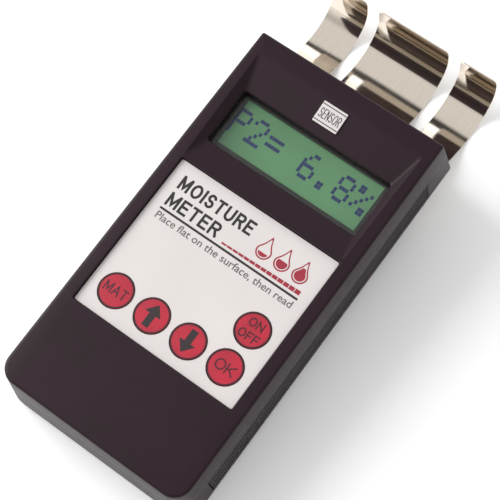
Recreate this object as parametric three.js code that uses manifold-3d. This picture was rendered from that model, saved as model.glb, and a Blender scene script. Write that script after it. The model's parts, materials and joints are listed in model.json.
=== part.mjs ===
// Hand-held moisture meter: a wedge-sided plastic case with a character display, five keys
// and three sprung sheet electrodes curling out under its head.
// The case frame has X across, Y towards the electrodes and Z out of the face, with the
// rear face at z = 0. The whole meter is turned so that it stands as it lies on a table,
// on the rear edge of its foot end and on the undersides of the electrodes.
import * as THREE from 'three';
import { mergeVertices } from 'three/addons/utils/BufferGeometryUtils.js';
import Module from 'manifold-3d';

const wasm = await Module();
wasm.setup();

// ---- driving dimensions, millimetres ----
const gap = 0.3;                    // clearance between neighbouring pieces
const body = {
  width: 84, foot: -80.5, head: 82.4,          // at the joint line, the widest level
  faceWidth: 80, faceFoot: -78.5, faceHead: 79,
  face: 29, joint: 4,               // heights of the face and of the joint line
  footRadius: 9, headRadius: 0.9,   // corner radii seen from the front
  edge: 1.1,                        // rounding of the face's rim
  wall: 2.2, ceiling: 24.6,
};
const rear = { floor: 2.6, lip: 6.2, lipWall: 1.2, lipInset: 2.6, seat: 0.5, edge: 2.5 };
const label = { width: 69.2, length: 63.9, y: -9.75, top: 27.5, thick: 0.6 };
const key = {
  radius: 6.55, top: 27.8, thick: 1.2, travel: 0.4,
  pitch: 16, row: -31, power: -14.95,
  stemRadius: 2.2, stemLow: 22.9,
};
const screen = {
  y: 45.45, width: 65, length: 23.5,           // the cutout in the case
  rim: 26, hopperLow: 23.3, hopperHigh: 70.9,  // the sloping recess, at the face
  hopperFoot: 34.9, hopperHead: 36,            // its half widths at those two ends
  paneTop: 23.3, pane: 0.8,
  collar: 2.2, paneLap: 1.5,                   // wall and pane reach around the cutout
  glassTop: 21.3, glass: 2.3, bezelTop: 22.2, boardTop: 18, board: 1.6,
  moduleY: 46.2, viewHalf: 30.4, viewReach: 9.9,   // the open area of the display's frame
};
const board = { halfWidth: 35, low: -44, high: 25, top: 18.7, thick: 1.6 };
const door = { half: 31, tongue: 1.2, base: 0.3, thick: 2, end: -46 };
const battery = { length: 48.5, width: 26.5, height: 17.5, x: -27, y: -61.35, base: 2.4 };
const boss = { radius: 3.3, bore: 1.5, low: 6.6, boreTop: 18 };
const footScrew = { x: 35.5, y: -72.5 };
const headScrew = { x: 18.75, y: 74 };
const holes = { screw: 1.9, wire: 1.6, clampScrew: 1.35 };   // radii
const carrier = { half: 40, low: 58, high: 80, deep: 5.1, step: 6.1, stepAt: 70.5 };
const leaf = {
  thick: 0.5, level: -5.75,                    // mid-plane of the clamped flange
  start: 71, flat: 8.7, bend: 4, slope: 24.5,  // degrees below the case's plane
  ramp: 14.2, sag: 27.5, curl: 13.7, tip: 6.8,
  middleHalf: 16.1, sideIn: 21.4, sideOut: 37.7,
};
const clamp = { thick: 2, low: 60.5, high: 79.6, screwY: 65, wireY: 64.5 };
const ribPanel = { low: 5.5, high: 16, from: -66, to: 68, deep: 0.45 };

// ---- materials ----
function matte(color, roughness = 0.6) {
  return new THREE.MeshStandardMaterial({ color, roughness, metalness: 0 });
}
function metal(color, roughness = 0.3) {
  return new THREE.MeshStandardMaterial({ color, roughness, metalness: 1 });
}
const look = {
  shell: matte(0x352a2e, 0.5), foil: matte(0xe6dfdd, 0.35), red: matte(0xcd3246, 0.35),
  black: matte(0x181818), pane: matte(0xdfe8e2, 0.05), lcd: matte(0x5f9b64, 0.2),
  pcb: matte(0x1d5a34, 0.5), chip: matte(0x222222, 0.5), steel: metal(0xc8b9aa, 0.18),
  zinc: metal(0xb9b9b4, 0.4), wireRed: matte(0xb01c1c), foam: matte(0x3a3a3a, 0.95),
  cell: matte(0x2f3336, 0.4), ivory: matte(0xcfc7ac, 0.5), copper: metal(0xb5713c, 0.4),
};

// ---- solids ----
function toSolid(geometry) {
  const bare = geometry.clone();
  bare.deleteAttribute('normal');
  bare.deleteAttribute('uv');
  const merged = mergeVertices(bare, 1e-4);
  return new wasm.Manifold(new wasm.Mesh({
    numProp: 3,
    vertProperties: new Float32Array(merged.attributes.position.array),
    triVerts: new Uint32Array(merged.index.array),
  }));
}
function toGeometry(solid) {
  const { vertProperties, triVerts } = solid.getMesh();
  const geometry = new THREE.BufferGeometry();
  geometry.setAttribute('position', new THREE.BufferAttribute(vertProperties, 3));
  geometry.setIndex(new THREE.BufferAttribute(triVerts, 1));
  geometry.computeVertexNormals();
  return geometry;
}
function shaped(base, { add = [], cut = [] }) {
  let solid = toSolid(base);
  for (const extra of add) solid = solid.add(toSolid(extra));
  for (const tool of cut) solid = solid.subtract(toSolid(tool));
  return toGeometry(solid);
}
function common(a, b) {
  return toGeometry(toSolid(a).intersect(toSolid(b)));
}
// a box between two opposite corners
function span(x0, x1, y0, y1, z0, z1) {
  const geometry = new THREE.BoxGeometry(x1 - x0, y1 - y0, z1 - z0);
  return geometry.translate((x0 + x1) / 2, (y0 + y1) / 2, (z0 + z1) / 2);
}
// an upright cylinder from z0 to z1
function post(radius, z0, z1, x, y, sides = 20) {
  const geometry = new THREE.CylinderGeometry(radius, radius, z1 - z0, sides);
  return geometry.rotateX(Math.PI / 2).translate(x, y, (z0 + z1) / 2);
}
// an outline in (y, z) drawn out along X
function alongX(points, x0, x1) {
  const shape = new THREE.Shape(points.map(([y, z]) => new THREE.Vector2(y, z)));
  const geometry = new THREE.ExtrudeGeometry(shape, { depth: x1 - x0, bevelEnabled: false });
  geometry.applyMatrix4(new THREE.Matrix4().set(0, 0, 1, x0, 1, 0, 0, 0, 0, 1, 0, 0, 0, 0, 0, 1));
  return geometry;
}
// a round wire through the given points
function wire(points, radius, steps = 16) {
  const sides = 8;
  const ring = [];
  for (let i = 0; i < sides; i += 1) {
    const turn = (i / sides) * 2 * Math.PI;
    ring.push(new THREE.Vector2(radius * Math.cos(turn), radius * Math.sin(turn)));
  }
  const stations = points.map((p) => new THREE.Vector3(...p));
  const path = new THREE.CatmullRomCurve3(stations, false, 'centripetal');
  return new THREE.ExtrudeGeometry(new THREE.Shape(ring), { extrudePath: path, steps });
}

// a round-cornered outline, counter-clockwise, with its own radius at foot and head
function outline(half, low, high, footRadius, headRadius, steps = 5) {
  const corners = [
    [half - footRadius, low + footRadius, footRadius, -90],
    [half - headRadius, high - headRadius, headRadius, 0],
    [-half + headRadius, high - headRadius, headRadius, 90],
    [-half + footRadius, low + footRadius, footRadius, 180],
  ];
  const points = [];
  for (const [cx, cy, radius, start] of corners) {
    for (let i = 0; i <= steps; i += 1) {
      const turn = THREE.MathUtils.degToRad(start + (90 * i) / steps);
      points.push([cx + radius * Math.cos(turn), cy + radius * Math.sin(turn)]);
    }
  }
  return points;
}
// a closed solid through stacked convex outlines, given as [z, outline] from the lowest up
function loft(levels) {
  const count = levels[0][1].length;
  const position = [];
  const index = [];
  for (const [z, points] of levels) {
    for (const [x, y] of points) position.push(x, y, z);
  }
  for (let level = 0; level + 1 < levels.length; level += 1) {
    for (let i = 0; i < count; i += 1) {
      const a = level * count + i;
      const b = level * count + ((i + 1) % count);
      index.push(a, b, b + count, a, b + count, a + count);
    }
  }
  const top = (levels.length - 1) * count;
  for (let i = 1; i + 1 < count; i += 1) {
    index.push(0, i + 1, i, top, top + i, top + i + 1);
  }
  const geometry = new THREE.BufferGeometry();
  geometry.setAttribute('position', new THREE.Float32BufferAttribute(position, 3));
  geometry.setIndex(index);
  return geometry;
}
// the case's outline at a height, moved inwards by inset
function caseOutline(z, inset = 0) {
  const rise = Math.max(0, z - body.joint) / (body.face - body.joint);
  const half = THREE.MathUtils.lerp(body.width, body.faceWidth, rise) / 2 - inset;
  const low = THREE.MathUtils.lerp(body.foot, body.faceFoot, rise) + inset;
  const high = THREE.MathUtils.lerp(body.head, body.faceHead, rise) - inset;
  const draft = rise * (body.width - body.faceWidth) / 2;
  const foot = Math.max(0.8, body.footRadius - draft - inset);
  const head = Math.max(0.8, body.headRadius - inset);
  return outline(half, low, high, foot, head);
}

// ---- the case ----
function frontShell() {
  const { face, joint, edge, wall, ceiling } = body;
  const levels = [[joint, caseOutline(joint)]];
  const rounds = 4;
  for (let i = 0; i <= rounds; i += 1) {
    const turn = (i / rounds) * (Math.PI / 2);
    const z = face - edge * (1 - Math.sin(turn));
    levels.push([z, caseOutline(z, edge * (1 - Math.cos(turn)))]);
  }
  const block = loft(levels);
  const cavity = loft([
    [joint - 1, caseOutline(joint, wall)],
    [ceiling, caseOutline(ceiling, wall)],
  ]);
  const collarX = screen.width / 2 + screen.collar;
  const collarY = screen.length / 2 + screen.collar;
  const chimney = span(-collarX, collarX, screen.y - collarY, screen.y + collarY,
    screen.paneTop + gap, ceiling + 0.5);
  const hollow = shaped(block, { cut: [cavity] });
  const bosses = screwPlaces().map(([x, y]) => post(boss.radius, boss.low, ceiling + 0.5, x, y));
  const bores = screwPlaces().map(([x, y]) => post(boss.bore, boss.low - 1, boss.boreTop, x, y, 16));
  const labelHalf = label.width / 2 + gap;
  const labelReach = label.length / 2 + gap;
  const labelFloor = label.top - label.thick - gap;
  const recess = loft([
    [labelFloor, outline(labelHalf, label.y - labelReach, label.y + labelReach, 0.8, 0.8, 2)],
    [face + 1, outline(labelHalf, label.y - labelReach, label.y + labelReach, 0.8, 0.8, 2)],
  ]);
  const keyWells = keyPlaces().flatMap(({ x, y }) => [
    post(key.radius + 0.45, key.top - key.thick - key.travel - 0.2, face, x, y, 32),
    post(key.stemRadius + gap, ceiling - 1, face, x, y),
  ]);
  return shaped(hollow, {
    add: [chimney, ...bosses],
    cut: [...bores, recess, hopper(), windowCut(), ...keyWells, ...ribRecesses()],
  });
}
// the sloping recess around the display
function hopper() {
  const over = 1 + 0.5 / (body.face - screen.rim);   // carried 0.5 mm above the face
  const bottom = outline(screen.width / 2, screen.y - screen.length / 2,
    screen.y + screen.length / 2, 1.2, 1.2, 3);
  const { hopperFoot, hopperHead, hopperLow, hopperHigh } = screen;
  const widest = hopperHead / hopperFoot;
  const face = outline(hopperFoot, hopperLow, hopperHigh, 1.5, 1.5, 3).map(([x, y]) => {
    const along = (y - hopperLow) / (hopperHigh - hopperLow);
    return [x * THREE.MathUtils.lerp(1, widest, along), y];
  });
  const brim = face.map(([x, y], i) => [
    THREE.MathUtils.lerp(bottom[i][0], x, over),
    THREE.MathUtils.lerp(bottom[i][1], y, over),
  ]);
  return loft([[screen.rim, bottom], [body.face + 0.5, brim]]);
}
function windowCut() {
  const low = screen.y - screen.length / 2;
  const high = screen.y + screen.length / 2;
  const edge = outline(screen.width / 2, low, high, 1.2, 1.2, 3);
  return loft([[screen.paneTop - 1, edge], [screen.rim + 0.2, edge]]);
}
// the long shallow panels that carry the grip ribs
function ribRecesses() {
  const lean = (body.width - body.faceWidth) / 2 / (body.face - body.joint);
  const wallAt = (z) => body.width / 2 - lean * (z - body.joint);
  const tools = [];
  for (const side of [-1, 1]) {
    const slab = new THREE.Shape([
      [wallAt(ribPanel.low) - ribPanel.deep, ribPanel.low], [wallAt(ribPanel.low) + 2, ribPanel.low],
      [wallAt(ribPanel.high) + 2, ribPanel.high], [wallAt(ribPanel.high) - ribPanel.deep, ribPanel.high],
    ].map(([x, z]) => new THREE.Vector2(x, z)));
    const depth = ribPanel.to - ribPanel.from;
    const tool = new THREE.ExtrudeGeometry(slab, { depth, bevelEnabled: false });
    tool.rotateX(Math.PI / 2).translate(0, ribPanel.to, 0);
    if (side < 0) tool.rotateZ(Math.PI).translate(0, ribPanel.to + ribPanel.from, 0);
    tools.push(tool);
  }
  return tools;
}
function screwPlaces() {
  return [
    [-footScrew.x, footScrew.y], [footScrew.x, footScrew.y],
    [-headScrew.x, headScrew.y], [headScrew.x, headScrew.y],
  ];
}
function coverBlock() {
  const top = body.joint - gap;
  return loft([
    [0, caseOutline(0, rear.edge)],
    [0.7, caseOutline(0, 1)],
    [1.6, caseOutline(0, 0.3)],
    [top, caseOutline(0)],
  ]);
}
function rearCover() {
  const { floor, lip, lipWall, lipInset } = rear;
  const inner = lipInset + lipWall;
  const rim = loft([[floor, caseOutline(floor, lipInset)], [lip, caseOutline(lip, lipInset)]]);
  const hollow = loft([
    [floor, caseOutline(floor, inner)],
    [lip, caseOutline(lip, inner)],
    [lip + 1, caseOutline(lip, inner)],
  ]);
  const doorHalf = door.half + gap;
  const doorEnd = door.end + gap;
  const bayHalf = 28.5;
  const bayLow = battery.y - battery.width / 2 - 1.4;
  const bayHigh = battery.y + battery.width / 2 + 1.1;
  const walls = [
    span(-door.half, door.half, bayHigh + 1.8, bayHigh + 3.3, floor - 0.5, 9),
    span(-door.half, -door.half + 1.4, bayLow, bayHigh + 2.5, floor - 0.5, 9),
    span(door.half - 1.4, door.half, bayLow, bayHigh + 2.5, floor - 0.5, 9),
  ];
  const doorway = [
    span(-doorHalf, doorHalf, 2 * body.foot, doorEnd, -1, door.thick + gap),
    span(-doorHalf - door.tongue, doorHalf + door.tongue, 2 * body.foot, doorEnd, 1, door.thick + gap),
    span(-bayHalf, bayHalf, bayLow, bayHigh, -1, floor + 1),
  ];
  const footHoles = [-1, 1].flatMap((side) => [
    post(holes.screw, -1, floor + 1, side * footScrew.x, footScrew.y, 16),
    post(3.3, -1, 1.7, side * footScrew.x, footScrew.y, 20),
  ]);
  const headHoles = [-1, 1].map((side) => (
    post(holes.screw, -1, floor + 1, side * headScrew.x, headScrew.y, 16)));
  const wireHoles = electrodes().map(({ x }) => post(holes.wire, -1, floor + 1, x, clamp.wireY, 16));
  const tray = shaped(coverBlock(), { add: [rim], cut: [hollow] });
  const seat = span(-body.width, body.width, carrier.low - gap, 2 * body.head, -1, rear.seat);
  return shaped(tray, { add: walls, cut: [...doorway, seat, ...footHoles, ...headHoles, ...wireHoles] });
}
// slides out of the foot end on two tongues, a little inside the rear face
function batteryDoor() {
  const { half, tongue, base, thick, end } = door;
  const block = span(-half - tongue, half + tongue, 2 * body.foot, end, base, thick);
  const flanks = [-1, 1].map((side) => {
    const inner = side * half;
    const outer = side * (half + tongue + 1);
    return span(Math.min(inner, outer), Math.max(inner, outer), 2 * body.foot, end + 1, -2, 1 + gap);
  });
  return shaped(common(coverBlock(), block), { cut: flanks });
}

// ---- label, keys and switches ----
function keyPlaces() {
  const { pitch, row, power } = key;
  return [
    { name: 'material', x: -1.5 * pitch, y: row },
    { name: 'up', x: -0.5 * pitch, y: row },
    { name: 'down', x: 0.5 * pitch, y: row },
    { name: 'ok', x: 1.5 * pitch, y: row },
    { name: 'power', x: 1.5 * pitch, y: power },
  ];
}
function labelPlate() {
  const half = label.width / 2;
  const reach = label.length / 2;
  const edge = outline(half, label.y - reach, label.y + reach, 0.6, 0.6, 2);
  const plate = loft([[label.top - label.thick, edge], [label.top, edge]]);
  const holes = keyPlaces().map(({ x, y }) => post(key.radius + gap, 20, 30, x, y, 32));
  return shaped(plate, { cut: holes });
}
function keyCap({ x, y }) {
  const { radius, top, thick } = key;
  const low = top - thick;
  const profile = [[0, low], [radius, low], [radius, top - 0.25], [radius - 0.3, top], [0, top]];
  const geometry = new THREE.LatheGeometry(profile.map(([r, z]) => new THREE.Vector2(r, z)), 32);
  return geometry.rotateX(Math.PI / 2).translate(x, y, 0);
}
function keyPlunger({ x, y }) {
  return post(key.stemRadius, key.stemLow, key.top - key.thick - gap, x, y, 16);
}
function keySwitch({ x, y }) {
  const seat = board.top + gap;
  const top = key.stemLow - key.travel - 0.2;
  const half = 3;
  return shaped(span(x - half, x + half, y - half, y + half, seat, top - 0.8), {
    add: [post(1.7, top - 1, top, x, y, 16)],
  });
}

// ---- display ----
function displayWindow() {
  const x = screen.width / 2 + screen.paneLap;
  const y = screen.length / 2 + screen.paneLap;
  return span(-x, x, screen.y - y, screen.y + y, screen.paneTop - screen.pane, screen.paneTop);
}
const glassHalf = { x: 34, y: 12 };
function displayGlass() {
  const { moduleY: y, glassTop, glass } = screen;
  return span(-glassHalf.x, glassHalf.x, y - glassHalf.y, y + glassHalf.y, glassTop - glass, glassTop);
}
function displayBezel() {
  const { moduleY: y, viewHalf, viewReach, glassTop, bezelTop, boardTop } = screen;
  const seat = boardTop + gap;
  const x = glassHalf.x + 1.5;
  const reach = glassHalf.y + 1.5;
  return shaped(span(-x, x, y - reach, y + reach, seat, bezelTop), {
    cut: [
      span(-glassHalf.x - gap, glassHalf.x + gap, y - glassHalf.y - gap, y + glassHalf.y + gap,
        seat - 1, glassTop + gap),
      span(-viewHalf, viewHalf, y - viewReach, y + viewReach, glassTop, bezelTop + 1),
    ],
  });
}
function displayBoard() {
  const { moduleY: y, boardTop, board: thick } = screen;
  return span(-36.2, 36.2, y - 18, y + 17.5, boardTop - thick, boardTop);
}
// the pin strip that joins the two boards from below
function displayHeader() {
  return span(-14, 14, board.high - 3, screen.y - 14, 13.2, screen.boardTop - screen.board - gap);
}

// ---- main board and what is soldered under it ----
const boardUnder = board.top - board.thick - gap;
function mainBoard() {
  return span(-board.halfWidth, board.halfWidth, board.low, board.high, board.top - board.thick, board.top);
}
function microcontroller() {
  return shaped(span(-18, 18, -14, -0.5, boardUnder - 4.2, boardUnder), {
    cut: [post(1.4, 10, boardUnder - 3.4, -18, -7.25, 12)],
  });
}
function quartzCrystal() {
  const edge = outline(5.5, 3.5, 8.2, 2.3, 2.3, 4).map(([x, y]) => [x - 22, y]);
  return loft([[boardUnder - 3.6, edge], [boardUnder, edge]]);
}
function oscillatorCoil() {
  const profile = [[0, 0], [6, 0], [6, 1.4], [3.4, 1.4], [3.4, 6], [6, 6], [6, 7.4], [0, 7.4]];
  const geometry = new THREE.LatheGeometry(profile.map(([r, z]) => new THREE.Vector2(r, z)), 20);
  return geometry.rotateX(Math.PI / 2).translate(12, 11, boardUnder - 7.4);
}
function filterCapacitor() {
  return post(3.2, boardUnder - 7, boardUnder, 27, -8, 16);
}
function trimPot() {
  return shaped(span(-29, -22, -16, -9, boardUnder - 5, boardUnder), {
    cut: [span(-27.4, -23.6, -12.9, -12.1, boardUnder - 6, boardUnder - 4.3)],
  });
}
function voltageRegulator() {
  return common(post(2.5, boardUnder - 4.6, boardUnder, -25, -24, 16),
    span(-28, -22, -25.4, -20, boardUnder - 9, boardUnder + 1));
}

// ---- battery ----
function batteryCell() {
  const { length, width, height, x, y, base } = battery;
  const block = span(x, x + length, y - width / 2, y + width / 2, base, base + height);
  const studs = [-1, 1].map((side) => stud(2.9, 0.5, 2.4, side));
  return shaped(block, { add: studs });
}
// a terminal-sized cylinder on the cell's end, reaching from back to out past the end
function stud(radius, back, out, side) {
  const { length, height, x, y, base } = battery;
  const geometry = new THREE.CylinderGeometry(radius, radius, back + out, 16);
  geometry.rotateZ(Math.PI / 2);
  return geometry.translate(x + length + (out - back) / 2, y + side * 6.35, base + height / 2);
}
function batterySnap() {
  const { length, height, x, y, base } = battery;
  const face = x + length + gap;
  const middle = base + height / 2;
  return shaped(span(face, face + 4.5, y - 12.5, y + 12.5, middle - 6.2, middle + 6.2), {
    cut: [-1, 1].map((side) => stud(3.2, 0.5, 2.8, side)),
  });
}
function batteryPad() {
  const { length, width, x, y, base, height } = battery;
  return span(x + 4, x + length - 4, y - width / 2 + 3, y + width / 2 - 3,
    base + height + gap, body.ceiling - gap);
}
const snapBack = battery.x + battery.length + 4.5 + 2 * gap;
function leadPositive() {
  return wire([
    [snapBack, -57, 15.2], [snapBack + 1.5, -57, 15.2], [snapBack + 3.2, -54.5, 15.2],
    [29.4, -47, 15], [27, -38, 15.2], [24, -34, 15.9],
  ], 0.8);
}
function leadNegative() {
  return wire([
    [snapBack, -64, 12], [snapBack + 1.5, -64, 12], [snapBack + 3.2, -61, 12],
    [29.4, -50, 11.8], [24, -40, 13], [19, -34, 15.9],
  ], 0.8);
}

// ---- electrodes ----
function electrodes() {
  const { middleHalf, sideIn, sideOut } = leaf;
  const sideHalf = (sideOut - sideIn) / 2;
  const sideX = (sideOut + sideIn) / 2;
  return [
    { name: 'left', x: -sideX, half: sideHalf },
    { name: 'centre', x: 0, half: middleHalf },
    { name: 'right', x: sideX, half: sideHalf },
  ];
}
// the leaf's mid-line in (y, z): straights, and arcs given as [radius, degrees turned up]
function leafLine() {
  const { start, level, flat, bend, slope, ramp, sag, curl, tip } = leaf;
  const runs = [
    { straight: flat }, { radius: bend, turn: -slope, steps: 3 },
    { straight: ramp }, { radius: sag, turn: slope, steps: 5 },
    { radius: curl, turn: 90, steps: 12 }, { straight: tip },
  ];
  let y = start;
  let z = level;
  let heading = 0;
  const line = [{ y, z, heading }];
  const step = (distance) => {
    y += distance * Math.cos(heading);
    z += distance * Math.sin(heading);
  };
  for (const { straight, radius, turn, steps } of runs) {
    if (straight) {
      step(straight);
      line.push({ y, z, heading });
      continue;
    }
    const part = THREE.MathUtils.degToRad(turn) / steps;
    for (let i = 0; i < steps; i += 1) {
      heading += part / 2;
      step(2 * radius * Math.sin(Math.abs(part) / 2));
      heading += part / 2;
      line.push({ y, z, heading });
    }
  }
  return line;
}
function electrode({ x, half }) {
  const offset = (side) => leafLine().map(({ y, z, heading }) => [
    y - side * (leaf.thick / 2) * Math.sin(heading),
    z + side * (leaf.thick / 2) * Math.cos(heading),
  ]);
  return alongX([...offset(-1), ...offset(1).reverse()], x - half, x + half);
}
function electrodeCarrier() {
  const { half, low, high, deep, step, stepAt } = carrier;
  const top = rear.seat - gap;
  const outlineSide = [
    [low, top], [high - 0.5, top], [high, top - 0.5], [high, -deep],
    [stepAt, -deep], [stepAt, -step], [low, -step],
  ];
  const leafHoles = electrodes().flatMap((one) => [
    post(holes.wire, -10, 1, one.x, clamp.wireY, 16),
    ...clampScrewXs(one).map((x) => post(holes.clampScrew, -10, -1.5, x, clamp.screwY, 12)),
  ]);
  const caseHoles = [-1, 1].map((side) => (
    post(holes.screw, -10, 1, side * headScrew.x, headScrew.y, 16)));
  return shaped(alongX(outlineSide, -half, half), { cut: [...leafHoles, ...caseHoles] });
}
function clampScrewXs({ x, half }) {
  const reach = half * 0.6;
  return [x - reach, x + reach];
}
const clampTop = -carrier.step - gap;
function electrodeClamp(one) {
  const half = one.half - 0.8;
  const { low, high, thick, screwY } = clamp;
  return shaped(span(one.x - half, one.x + half, low, high, clampTop - thick, clampTop), {
    cut: clampScrewXs(one).map((x) => post(holes.clampScrew, -15, 0, x, screwY, 12)),
  });
}
function electrodeWire({ x }) {
  const lean = x * 0.86;
  return wire([
    [lean, 19, 16], [lean, 21, 13], [lean, 27, 8.5], [x, 44, 6], [x, 58, 5.4],
    [x, clamp.wireY - 1.2, 4.2], [x, clamp.wireY, 1.5], [x, clamp.wireY, -3], [x, clamp.wireY, -6],
  ], 0.7, 16);
}

// ---- screws: a round head with a driver slot, head down ----
function screw({ x, y, head, headHigh, top, radius, shank }) {
  const low = top - headHigh;
  const profile = [
    [0, low], [head - 0.3, low], [head, low + 0.3], [head, top],
    [radius, top], [radius, top + shank - radius], [0, top + shank],
  ];
  const points = profile.map(([r, z]) => new THREE.Vector2(r, z));
  const blank = new THREE.LatheGeometry(points, 14).rotateX(Math.PI / 2).translate(x, y, 0);
  const slot = span(x - head, x + head, y - 0.35, y + 0.35, low - 1, low + 0.6);
  return shaped(blank, { cut: [slot] });
}
function footCaseScrew(side) {
  return screw({
    x: side * footScrew.x, y: footScrew.y, head: 2.9, headHigh: 1.2, top: 1.7 - gap,
    radius: 1.15, shank: 13,
  });
}
function headCaseScrew(side) {
  return screw({
    x: side * headScrew.x, y: headScrew.y, head: 2.4, headHigh: 1.5, top: -carrier.deep - gap,
    radius: 1.15, shank: 20,
  });
}
function clampScrew(x) {
  return screw({
    x, y: clamp.screwY, head: 2.1, headHigh: 1.3, top: clampTop - clamp.thick - gap,
    radius: 1, shank: 6,
  });
}

// a blank plate on the slope above the display
function slopePlate() {
  const rise = body.face - screen.rim;
  const low = screen.y + screen.length / 2;
  const run = screen.hopperHigh - low;
  const slope = Math.atan2(rise, run);
  const middle = 0.59;                 // share of the way up the slope
  const plate = new THREE.BoxGeometry(10.4, 8.4, 0.3);
  plate.translate(0, 0, 0.15 + gap).rotateX(slope);
  return plate.translate(0, low + middle * run, screen.rim + middle * rise);
}

// ---- assembly ----
const meter = new THREE.Group();
function place(name, geometry, material) {
  const mesh = new THREE.Mesh(geometry, material);
  mesh.name = name;
  meter.add(mesh);
}
place('front_shell', frontShell(), look.shell);
place('rear_cover', rearCover(), look.shell);
place('battery_door', batteryDoor(), look.shell);
place('keypad_label', labelPlate(), look.foil);
place('slope_plate', slopePlate(), look.foil);
for (const one of keyPlaces()) {
  place(`key_${one.name}`, keyCap(one), look.red);
  place(`plunger_${one.name}`, keyPlunger(one), look.black);
  place(`switch_${one.name}`, keySwitch(one), look.chip);
}
place('display_window', displayWindow(), look.pane);
place('display_glass', displayGlass(), look.lcd);
place('display_bezel', displayBezel(), look.zinc);
place('display_board', displayBoard(), look.pcb);
place('display_header', displayHeader(), look.black);
place('main_board', mainBoard(), look.pcb);
place('microcontroller', microcontroller(), look.chip);
place('quartz_crystal', quartzCrystal(), look.zinc);
place('oscillator_coil', oscillatorCoil(), look.copper);
place('filter_capacitor', filterCapacitor(), look.cell);
place('trim_pot', trimPot(), look.ivory);
place('voltage_regulator', voltageRegulator(), look.chip);
place('battery_cell', batteryCell(), look.cell);
place('battery_snap', batterySnap(), look.black);
place('battery_pad', batteryPad(), look.foam);
place('lead_positive', leadPositive(), look.wireRed);
place('lead_negative', leadNegative(), look.black);
place('electrode_carrier', electrodeCarrier(), look.ivory);
for (const one of electrodes()) {
  place(`electrode_${one.name}`, electrode(one), look.steel);
  place(`clamp_${one.name}`, electrodeClamp(one), look.zinc);
  place(`electrode_wire_${one.name}`, electrodeWire(one), look.ivory);
  clampScrewXs(one).forEach((x, i) => {
    place(`clamp_screw_${one.name}_${i + 1}`, clampScrew(x), look.zinc);
  });
}
[-1, 1].forEach((side, i) => {
  place(`foot_screw_${i + 1}`, footCaseScrew(side), look.zinc);
  place(`head_screw_${i + 1}`, headCaseScrew(side), look.zinc);
});

// ---- resting: a line from the rear edge of the foot, tangent to the electrodes' sag ----
function restingTilt() {
  const footY = body.foot + rear.edge;
  const bottom = leafLine().reduce((low, point) => (point.z < low.z ? point : low));
  const centreY = bottom.y - footY;
  const centreZ = bottom.z + leaf.sag;
  const reach = Math.hypot(centreY, centreZ);
  return Math.asin((leaf.sag + leaf.thick / 2) / reach) - Math.atan2(centreZ, centreY);
}
meter.rotation.x = restingTilt();
const stand = new THREE.Group();
stand.add(meter);
stand.updateMatrixWorld(true);
const extent = new THREE.Box3().setFromObject(stand, true);
const middle = extent.getCenter(new THREE.Vector3());
meter.position.set(-middle.x, -middle.y, -extent.min.z);

export default stand;
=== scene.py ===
import json
import math

import bmesh
import bpy
import numpy as np
from mathutils import Matrix, Vector
from mathutils.geometry import delaunay_2d_cdt

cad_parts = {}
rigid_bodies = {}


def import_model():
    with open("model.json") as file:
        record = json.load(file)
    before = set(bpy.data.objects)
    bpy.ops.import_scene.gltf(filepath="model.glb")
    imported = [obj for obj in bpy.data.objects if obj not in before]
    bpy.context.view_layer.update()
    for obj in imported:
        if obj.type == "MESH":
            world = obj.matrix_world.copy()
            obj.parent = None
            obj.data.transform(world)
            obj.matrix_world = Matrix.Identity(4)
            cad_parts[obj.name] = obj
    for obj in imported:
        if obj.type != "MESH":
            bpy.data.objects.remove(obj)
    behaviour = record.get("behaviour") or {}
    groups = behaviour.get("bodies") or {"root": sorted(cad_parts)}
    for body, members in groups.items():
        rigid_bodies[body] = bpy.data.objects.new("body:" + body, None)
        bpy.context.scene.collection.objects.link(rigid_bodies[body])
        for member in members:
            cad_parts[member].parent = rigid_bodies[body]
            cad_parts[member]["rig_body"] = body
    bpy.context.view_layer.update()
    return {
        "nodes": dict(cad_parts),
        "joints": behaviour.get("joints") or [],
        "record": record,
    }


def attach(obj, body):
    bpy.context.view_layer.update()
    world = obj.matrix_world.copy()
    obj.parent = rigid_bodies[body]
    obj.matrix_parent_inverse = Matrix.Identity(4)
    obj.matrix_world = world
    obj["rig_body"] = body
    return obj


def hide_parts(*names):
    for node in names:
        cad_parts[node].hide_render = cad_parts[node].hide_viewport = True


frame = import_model()
print("frame loaded:", len(frame["nodes"]), "nodes")

# The case has its own frame: X across, Y towards the electrodes, Z out of the face, in mm,
# with z = 0 on the rear face. The rear mount lies 10 mm up the case's middle line.
joints = {joint["name"]: joint for joint in frame["joints"]}
mounts = {mount["name"]: mount for mount in frame["record"]["mounts"]}
pressAxis = joints["press_ok"]["axis"]
tilt = math.atan2(pressAxis[1], -pressAxis[2])
rearMount = Vector(mounts["rear_face"]["pos_m"])
caseToRow = (Matrix.Translation(rearMount) @ Matrix.Rotation(tilt, 4, "X")
             @ Matrix.Translation((0, -0.010, 0)) @ Matrix.Scale(0.001, 4))
rowToCase = caseToRow.inverted()


def meshPoints(mesh):
    flat = np.empty(len(mesh.vertices) * 3)
    mesh.vertices.foreach_get("co", flat)
    return flat.reshape(-1, 3)


def caseBox(node):
    # lowest and highest corner of a CAD node in the case's frame, in mm
    turn = np.array(rowToCase.to_3x3())
    points = meshPoints(frame["nodes"][node].data) @ turn.T + np.array(rowToCase.translation)
    return points.min(0), points.max(0)


shellLow, shellHigh = caseBox("front_shell")
labelLow, labelHigh = caseBox("keypad_label")
windowLow, windowHigh = caseBox("display_window")
faceHeight = shellHigh[2]
glassTop = caseBox("display_glass")[1][2]
keyNames = ["material", "up", "down", "ok", "power"]
keyBoxes = {name: caseBox("key_" + name) for name in keyNames}
keyCentres = {name: (low + high) / 2 for name, (low, high) in keyBoxes.items()}


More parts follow.
